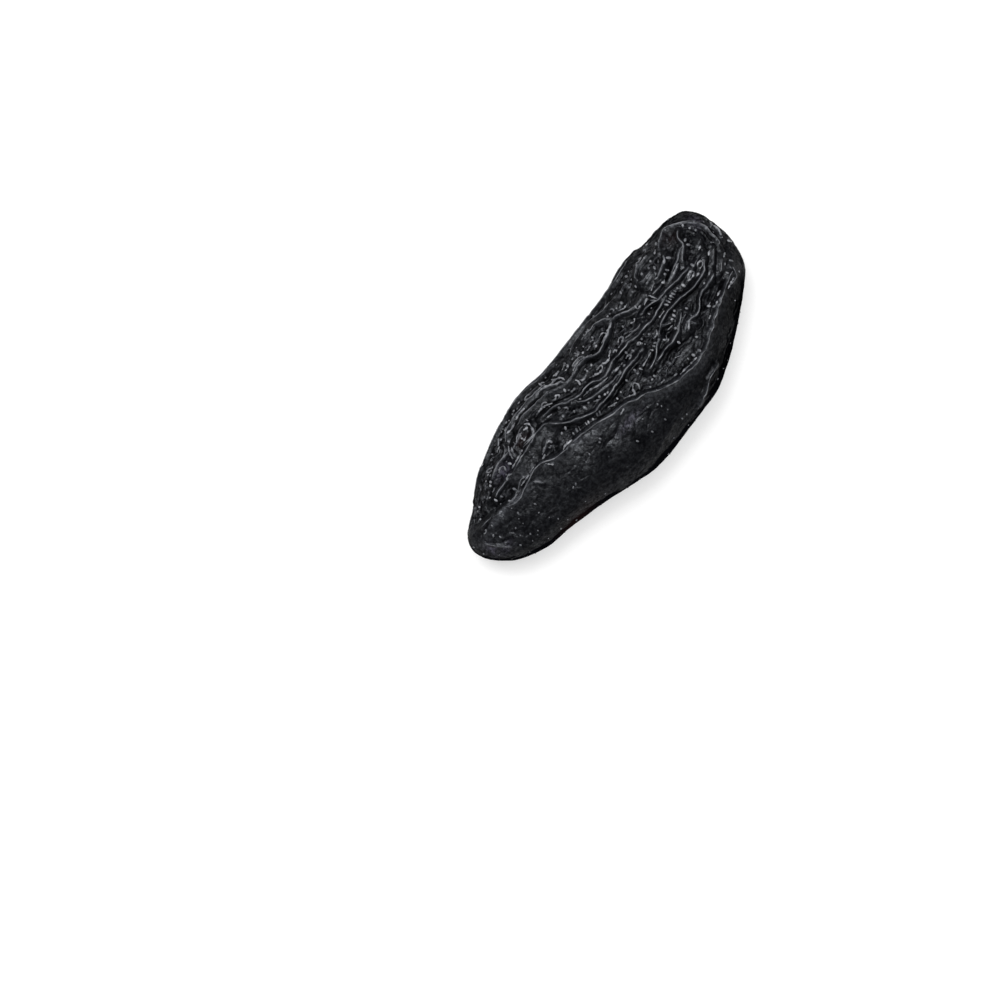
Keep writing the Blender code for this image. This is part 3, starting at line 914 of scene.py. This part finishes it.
foldValues = {
    "step": 0.1,              # mm from one ring of its points to the next
    "end": (0.0, 0.2),        # share of its length that thins out
    "endGirth": (0.5, 0.5),
    "unevenScale": 3.4,
    "uneven": (0.36, 0.62),
    "unevenGirth": (0.3, 0.85),
    "paleScale": 1.3,
    "pale": (0.36, 0.64),
    "paleShare": (0.15, 0.85),
    "sides": 6,
}


def rod(curves, radius, sides, scale):    # a round bar along each curve, radius in mm
    inputs = {"Resolution": sides, "Radius": radius * mm}
    profile = put(curves.tree, "GeometryNodeCurvePrimitiveCircle", inputs, out="Curve")
    inputs = {"Curve": curves, "Profile Curve": profile, "Scale": scale, "Fill Caps": True}
    return put(curves.tree, "GeometryNodeCurveToMesh", inputs)


def hookTree(tree):    # a bent bar, about three grains long
    radius, turn, steps = (hookValues[name] for name in ("radius", "turn", "steps"))
    inputs = {"Resolution": steps, "Radius": radius * mm, "Sweep Angle": turn}
    bend = put(tree, "GeometryNodeCurveArc", inputs, out="Curve")
    return rod(bend, hookValues["thick"], hookValues["sides"], 1.0)


def scatter(coat, kind, given, mask, seed):    # points on the coat, with their rotation
    points = put(coat.tree, "GeometryNodeDistributePointsOnFaces", {
        "Mesh": coat,
        "Distance Min": given[kind + " Spacing"] * mm,
        "Density Max": given[kind + " Density"] * (1 / mm**2),
        "Density Factor": mask,
        "Seed": given["Seed"] + seed,
    }, out="Points", distribute_method="POISSON")
    return points, align(points["Rotation"], readNamed(coat.tree, "way", "FLOAT_VECTOR"))


def align(rotation, way):    # turns it about its own Z, until its X goes this way
    inputs = {"Rotation": rotation, "Vector": way}
    return put(way.tree, "FunctionNodeAlignRotationToVector", inputs, axis="X", pivot_axis="Z")


def setDown(coat, geometry):    # every point drops straight down on the coat
    up = (0.0, 0.0, grainPlaces["dropHeight"] * mm)
    above = calcVector("ADD", put(coat.tree, "GeometryNodeInputPosition"), up)
    inputs = {"Target Geometry": coat, "Source Position": above, "Ray Direction": (0.0, 0.0, -1.0)}
    place = put(coat.tree, "GeometryNodeRaycast", inputs, out="Hit Position")
    return put(coat.tree, "GeometryNodeSetPosition", {"Geometry": geometry, "Position": place})


def drawn(tree, low, high, seed):    # a random value for each point
    return put(tree, "FunctionNodeRandomValue", {2: low, 3: high, "Seed": seed}, out=1, data_type="FLOAT")


def threadTree(coat, given):    # a thin pale line on each crest's top, a painted highlight, uneven and broken here and there
    tree = coat.tree
    metres = put(tree, "GeometryNodeInputPosition")
    height = readNamed(tree, "crestHeight")
    inputs = {0: height, 1: threadValues["leastCrest"]}
    tall = put(tree, "FunctionNodeCompare", inputs, data_type="FLOAT", operation="GREATER_THAN")
    curves = put(tree, "GeometryNodeMeshToCurve", {"Mesh": shapeOf(given["Tops"]), "Selection": tall})
    onCoat = put(tree, "GeometryNodeProximity", {0: coat}, out="Position", target_element="FACES")
    curves = put(tree, "GeometryNodeSetPosition", {"Geometry": curves, "Position": onCoat})
    uneven = rise(noiseAt(metres, threadValues["unevenScale"] / mm), *threadValues["uneven"])
    high = axis(metres, "Z")
    clear, back = (rise(high, *[end * mm for end in threadValues[name]]) for name in ("floor", "back"))
    girth = rise(height, *threadValues["crest"]) * (threadValues["least"] + uneven) * clear
    shifted = calcVector("ADD", metres, (0.0, 0.0, threadValues["paleShift"] * mm))
    pale = rise(noiseAt(shifted, threadValues["paleScale"] / mm), *threadValues["pale"])
    curves = keepNamed(curves, "pale", pale * blend(back, *threadValues["backPale"]))
    return rod(curves, given["Thread Radius"], threadValues["sides"], threadValues["thin"] + girth)


def foldTree(coat, given):    # round bars along the fold paths, thinner at their ends and uneven along them
    tree = coat.tree
    metres = put(tree, "GeometryNodeInputPosition")
    curves = put(tree, "GeometryNodeMeshToCurve", {0: shapeOf(given["Folds"])})
    inputs = {"Curve": curves, "Length": foldValues["step"] * mm}
    curves = put(tree, "GeometryNodeResampleCurve", inputs, mode="LENGTH")
    curves = setDown(coat, curves)
    share = put(tree, "GeometryNodeSplineParameter", out="Factor")
    fromEnd = rise(calc("MINIMUM", share, 1 - share), *foldValues["end"])
    uneven = rise(noiseAt(metres, foldValues["unevenScale"] / mm, 1.0), *foldValues["uneven"])
    girth = blend(fromEnd, *foldValues["endGirth"]) * blend(uneven, *foldValues["unevenGirth"])
    pale = rise(noiseAt(metres, foldValues["paleScale"] / mm, 1.0), *foldValues["pale"])
    curves = keepNamed(curves, "pale", blend(pale, *foldValues["paleShare"]))
    return rod(curves, given["Fold Radius"], foldValues["sides"], girth)


def beadTree(coat, given, ball):    # one bead at each of the bead places, longer across the crests
    tree = coat.tree

    def onCoat(value, kind="FLOAT"):
        return put(tree, "GeometryNodeSampleNearestSurface", {"Mesh": coat, "Value": value}, data_type=kind)

    points = setDown(coat, put(tree, "GeometryNodeMeshToPoints", {"Mesh": shapeOf(given["Beads"])}))
    up = onCoat(put(tree, "GeometryNodeInputNormal"), "FLOAT_VECTOR")
    way = onCoat(readNamed(tree, "way", "FLOAT_VECTOR"), "FLOAT_VECTOR")
    lies = align(put(tree, "FunctionNodeAlignRotationToVector", {"Vector": up}, axis="Z"), way)
    share = onCoat(readNamed(tree, "field"))
    girth = drawn(tree, *beadValues["girth"]) * given["Bead Radius"] * blend(share, *beadValues["fieldGirth"])
    pale = drawn(tree, *beadValues["pale"]) * blend(share, *beadValues["fieldPale"])
    points = keepNamed(points, "pale", pale)
    size = combine(girth, girth * drawn(tree, *beadValues["length"]), girth * beadValues["flat"])
    inputs = {"Points": points, "Instance": ball, "Rotation": lies, "Scale": size}
    return put(tree, "GeometryNodeInstanceOnPoints", inputs)


def grainTree():
    sockets = {"Geometry": "Geometry", **dict.fromkeys(("Coat", "Folds", "Beads", "Tops"), "Object")}
    sockets.update((label, "Int" if label == "Seed" else "Float") for label in grainValues)
    tree, given = newTree("coatGrains", "GeometryNodeTree", sockets, {"Geometry": "Geometry"})
    coat = shapeOf(given["Coat"])
    away, inField, wrinkled = (readNamed(tree, name) for name in ("away", "field", "wrinkled"))
    place = scaled(put(tree, "GeometryNodeInputPosition"), 1 / mm)
    x = axis(place, "X")
    fewer = 1 - rise(axis(place, "Z"), *grainPlaces["back"]) * (1 - given["Back Share"])
    patches = noiseField(place, grainPlaces["patchSize"], 1.0)
    busy = 1 - rise(x, *fineShape["calm"]) * grainPlaces["bluntLost"]
    busy = busy * blend(rise(x, *grainPlaces["tip"]), *grainPlaces["tipShare"]) * wrinkled
    masks = {"Lone": wrinkled * fewer}
    for kind, span in (("Row", "rowPatch"), ("Hook", "hookPatch")):
        near = between(away, *grainPlaces[kind])
        masks[kind] = near * inField * rise(patches, *grainPlaces[span]) * fewer * busy
    ball = put(tree, "GeometryNodeMeshUVSphere", grainPlaces["ball"], out="Mesh")
    shapes = {"Row": ball, "Lone": ball, "Hook": hookTree(tree)}
    joined = tree.nodes.new("GeometryNodeJoinGeometry")
    for number, (kind, girths, lengths, turn, sunk) in enumerate(grainKinds):
        points, lies = scatter(coat, kind, given, masks[kind], number)
        inputs = {"Rotation": lies, "Rotate By": (0.0, 0.0, turn)}
        lies = put(tree, "FunctionNodeRotateRotation", inputs, rotation_space="LOCAL")
        pale = drawn(tree, *grainPlaces["pale"], grainPlaces["paleSeed"] + number)
        points = keepNamed(points, "pale", pale)
        girth = drawn(tree, *girths, grainPlaces["girthSeed"] + number) * given["Size"]
        length = drawn(tree, *lengths, grainPlaces["lengthSeed"] + number)
        size = combine(girth * length, girth, girth)
        inputs = {"Points": points, "Instance": shapes[kind], "Rotation": lies, "Scale": size}
        grains = put(tree, "GeometryNodeInstanceOnPoints", inputs)
        inputs = {"Instances": grains, "Translation": combine(0.0, 0.0, girth * (-sunk * mm))}
        feed(joined.inputs[0], put(tree, "GeometryNodeTranslateInstances", inputs))
    for grains in (beadTree(coat, given, ball), foldTree(coat, given), threadTree(coat, given)):
        feed(joined.inputs[0], grains)
    endTree(Flow(tree, joined.outputs[0]), "paleGrain")
    return tree


def setInputs(modifier, values):    # by each socket's identifier
    for item in modifier.node_group.interface.items_tree:
        if item.item_type == "SOCKET" and item.in_out == "INPUT" and item.name in values:
            modifier[item.identifier] = values[item.name]


def makePlain(piece):    # the evaluated mesh takes the place of the modifiers
    bpy.context.view_layer.update()
    graph = bpy.context.evaluated_depsgraph_get()
    mesh = bpy.data.meshes.new_from_object(piece.evaluated_get(graph))
    piece.modifiers.clear()
    old, piece.data = piece.data, mesh
    bpy.data.meshes.remove(old)
    mesh.name = piece.name
    return mesh


def fitToSolid(coat, meshes):    # they go into the solid's box with the coat, which is flat where it rests
    low, high = (np.array(corner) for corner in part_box("tonka_bean"))
    points = meshPoints(coat)
    least, greatest = points.min(axis=0), points.max(axis=0)
    scale = (high - low)[:2] / (greatest - least)[:2]
    for mesh in meshes:
        points = meshPoints(mesh)
        points[:, :2] = low[:2] + (points[:, :2] - least[:2]) * scale
        points[:, 2] = np.maximum(points[:, 2] + high[2] - greatest[2], low[2])
        movePoints(mesh, points)


def makeBean(guides):
    lines, guides["Tops"] = crestLines()
    bean = smoothBean()
    print("smooth form:", len(bean.data.vertices), "points")
    relief = bean.modifiers.new("Relief", "NODES")
    relief.node_group = coatTree()
    setInputs(relief, {"Crest Lines": lines, **coatValues})
    mesh = makePlain(bean)
    fitToSolid(mesh, [mesh] + [guide.data for guide in guides.values()])
    thin = bean.modifiers.new("Thin out", "DECIMATE")
    thin.ratio = min(1.0, form["triangles"] / len(mesh.polygons))
    mesh = makePlain(bean)
    mesh.shade_smooth()
    bpy.data.objects.remove(lines)
    print("coat:", len(mesh.polygons), "triangles")
    return bean


def makeGrains(bean, guides):
    grains = addObject("coatGrains", bpy.data.meshes.new("coatGrains"))
    scattered = grains.modifiers.new("Scatter", "NODES")
    scattered.node_group = grainTree()
    setInputs(scattered, {"Coat": bean, **guides, **grainValues})
    mesh = makePlain(grains)
    points = meshPoints(mesh)
    points[:, 2] = np.maximum(points[:, 2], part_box("tonka_bean")[0].z)    # none below the resting face
    movePoints(mesh, points)
    for guide in guides.values():
        bpy.data.objects.remove(guide)
    print("grains:", len(mesh.polygons), "faces")
    return grains


# Materials

coatLook = {
    # painted shade in grooves, valleys, troughs, on the plateau and in the painted shadow patches
    "hollowColor": (0.0005, 0.0005, 0.0007, 1.0),
    "darkColor": (0.0021, 0.0022, 0.0029, 1.0),
    "coatColor": (0.0034, 0.0037, 0.0049, 1.0),
    # painted highlight on crest tops, small ridges and beads, and the dim end of the pale grains
    "edgeColor": (0.060, 0.063, 0.072, 1.0),
    # pale grains: partly coumarin frost, partly painted glints and painted highlight lines
    "grainColor": (0.250, 0.257, 0.278, 1.0),
    "brownColor": (0.0130, 0.0060, 0.0055, 1.0),
    "frostColor": (0.046, 0.042, 0.060, 1.0),
    "shineTint": (0.90, 0.94, 1.0, 1.0),
    "roughness": (0.26, 0.38),
    "grainRoughness": 0.30,
    "shine": (0.35, 0.0),    # facing, and at the rim
    "hollowDull": 0.94,      # share of the shine that the painted shade takes away
    "edgeShine": 0.30,
    "bump": 0.6,
    "bumpDistance": 0.07,           # mm
    "leatherSize": 0.15,
    "grainSize": 0.16,
    "edgeMottle": (0.35, 0.65),     # least share, and what the mask adds
    "brownMask": (0.3, 0.9),
    "shineMottle": (0.35, 1.0),
    "shineMask": (0.70, 0.5),
    "paleMottle": (0.5, 0.7),
    "shineFacing": (0.04, 0.55),    # range that it fades over
    "facingBlend": 0.5,
    "roughMask": (0.3, 0.7),
    "shineRange": (0.38, 0.62),
}

# Noise of the leathery grain: scale, detail and spread
leatherNoises = {"broad": (0.12, 4.0, 0.6), "spots": (0.42, 3.0, 0.65), "fine": (1.0, 3.0, 0.6)}
leatherPits = (0.7, 0.6)    # scale and share
leatherMottle = (0.36, 0.66)


def grainGroup():    # leathery grain: a broad mask, a mottle of small spots, and a height for bump
    outputs = dict.fromkeys(("Mask", "Mottle", "Height"), "Float")
    tree, given = newTree("leatherGrain", "ShaderNodeTree", {"Size": "Float"}, outputs)
    place = put(tree, "ShaderNodeTexCoord", out="Object")
    sized = calcVector("DIVIDE", place, combine(*[given["Size"]] * 3))
    broad, spots, fine = (noiseAt(sized, *values) for values in leatherNoises.values())
    scale, share = leatherPits
    height = fine + voronoi(sized, scale, "SMOOTH_F1") * share
    put(tree, "NodeGroupOutput", {"Mask": broad, "Mottle": rise(spots, *leatherMottle), "Height": height})
    return tree


def newMaterial(name):
    material = bpy.data.materials.new(name)
    material.use_nodes = True
    return material, material.node_tree, material.node_tree.nodes["Principled BSDF"].inputs


def readShade(tree, name):
    return put(tree, "ShaderNodeAttribute", out="Fac", attribute_name=name)


def mixColor(share, a, b):
    return put(share.tree, "ShaderNodeMix", {0: share, 6: a, 7: b}, out=2, data_type="RGBA")


def coatMaterial(grain):
    material, tree, shader = newMaterial("seedCoat")
    leather = put(tree, "ShaderNodeGroup", {"Size": coatLook["leatherSize"] * mm}, node_tree=grain)
    mask, mottle = leather["Mask"], leather["Mottle"]
    # the coat's masks of painted highlight and painted shade, and its real brown and frost patches
    brown, frost, dark, edge, shade = (readShade(tree, name) for name in (*coatPatches, "edge", "shade"))
    edge = edge * blend(mottle, *coatLook["edgeMottle"])
    color = mixColor(mottle, coatLook["darkColor"], coatLook["coatColor"])
    color = mixColor(brown * blend(mask, *coatLook["brownMask"]), color, coatLook["brownColor"])
    # the painted shadow patches join the painted shade of the hollows
    shade = most(shade, dark)
    color = mixColor(shade, color, coatLook["hollowColor"])
    color = mixColor(frost * mottle, color, coatLook["frostColor"])
    # painted highlight on the crests
    feed(shader["Base Color"], mixColor(edge, color, coatLook["edgeColor"]))
    feed(shader["Roughness"], rescale(mask, *coatLook["roughMask"], *coatLook["roughness"]))
    bump = {"Strength": coatLook["bump"], "Distance": coatLook["bumpDistance"] * mm}
    feed(shader["Normal"], put(tree, "ShaderNodeBump", {**bump, "Height": leather["Height"]}))
    facing = put(tree, "ShaderNodeLayerWeight", {"Blend": coatLook["facingBlend"]}, out="Facing")
    shine = rescale(facing, *coatLook["shineFacing"], *coatLook["shine"])
    shine = shine * (1 - shade * coatLook["hollowDull"]) * blend(mottle, *coatLook["shineMottle"])
    shine = shine * blend(rise(mask, *coatLook["shineRange"]), *coatLook["shineMask"])
    feed(shader["Specular IOR Level"], shine + edge * coatLook["edgeShine"])
    feed(shader["Specular Tint"], coatLook["shineTint"])


def grainMaterial(grain):
    material, tree, shader = newMaterial("paleGrain")
    leather = put(tree, "ShaderNodeGroup", {"Size": coatLook["grainSize"] * mm}, node_tree=grain)
    # pale grains: partly coumarin frost, partly painted glints, and painted highlight lines on the crests
    share = readShade(tree, "pale") * blend(leather["Mottle"], *coatLook["paleMottle"])
    feed(shader["Base Color"], mixColor(share, coatLook["edgeColor"], coatLook["grainColor"]))
    feed(shader["Roughness"], coatLook["grainRoughness"])


# Stage

stageLook = {
    "floor": {
        "Base Color": (0.55, 0.55, 0.55, 1.0),
        "Roughness": 0.8,
        "Specular IOR Level": 0.1,
        "Emission Color": (1.0, 1.0, 1.0, 1.0),
        "Emission Strength": 0.50,
    },
    "floorSide": 3.0,                 # metres
    "worldStrength": 0.20,
    "lens": 150.0,
    "clipStart": 0.01,                # metres
    "frameWidth": 97.95,              # mm that the picture is wide
    "frameHeight": 5.5,               # mm above the floor, where it is that wide
    "frameMiddle": (-14.39, 2.94),    # mm, from the middle of the bean
    "pictureUp": (0.7986, 0.6018),    # the picture's upward direction on the floor
}

lights = {    # place in metres, side in metres, watts
    "keyLight": ((0.03, 0.17, 0.40), 0.20, 1.3),
    "topLight": ((0.07, 0.01, 0.55), 0.34, 1.9),
}


def makeFloor():
    mesh = bpy.data.meshes.new("floor")
    plane = bmesh.new()
    bmesh.ops.create_grid(plane, x_segments=1, y_segments=1, size=stageLook["floorSide"] / 2)
    plane.to_mesh(mesh)
    plane.free()
    material, tree, shader = newMaterial("paleFloor")
    for name, value in stageLook["floor"].items():
        feed(shader[name], value)
    mesh.materials.append(material)
    floor = addObject("floor", mesh)


def makeLights():
    for name, (place, side, watts) in lights.items():
        light = bpy.data.lights.new(name, "AREA")
        light.size = side
        light.energy = watts
        lamp = addObject(name, light)
        lamp.location = place
        lamp.rotation_euler = (-Vector(place)).to_track_quat("-Z", "Y").to_euler()
    world = bpy.data.worlds.new("studio")
    world.use_nodes = True
    background = world.node_tree.nodes["Background"].inputs
    feed(background["Color"], (1, 1, 1, 1))
    feed(background["Strength"], stageLook["worldStrength"])
    bpy.context.scene.world = world


def makeCamera():    # straight down, turned as in the photograph
    camera = bpy.data.cameras.new("camera")
    camera.lens = stageLook["lens"]
    camera.clip_start = stageLook["clipStart"]
    seen = addObject("camera", camera)
    low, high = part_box("tonka_bean")
    middle = (low + high) / 2
    x, y = stageLook["frameMiddle"]
    away = stageLook["frameWidth"] * stageLook["lens"] / camera.sensor_width
    seen.location = (middle.x + x * mm, middle.y + y * mm, (away + stageLook["frameHeight"]) * mm)
    up = Vector(stageLook["pictureUp"])
    seen.rotation_euler = (0, 0, math.atan2(-up.x, up.y))
    bpy.context.scene.camera = seen
    bpy.context.scene.view_settings.view_transform = "Standard"


def main():
    grain = grainGroup()
    coatMaterial(grain)
    grainMaterial(grain)
    guides = {
        "Folds": wireObject("foldPaths", [finePath(onBack(pairs(path))) for path in coatFolds]),
        "Beads": wireObject("beadPlaces", onBack(pairs(coatBeads))[:, None]),
    }
    bean = makeBean(guides)
    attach(bean, "root")
    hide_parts("tonka_bean")
    grains = makeGrains(bean, guides)
    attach(grains, "root")
    makeFloor()
    makeLights()
    makeCamera()
    print("stage: floor,", len(lights), "lights and the camera")


main()
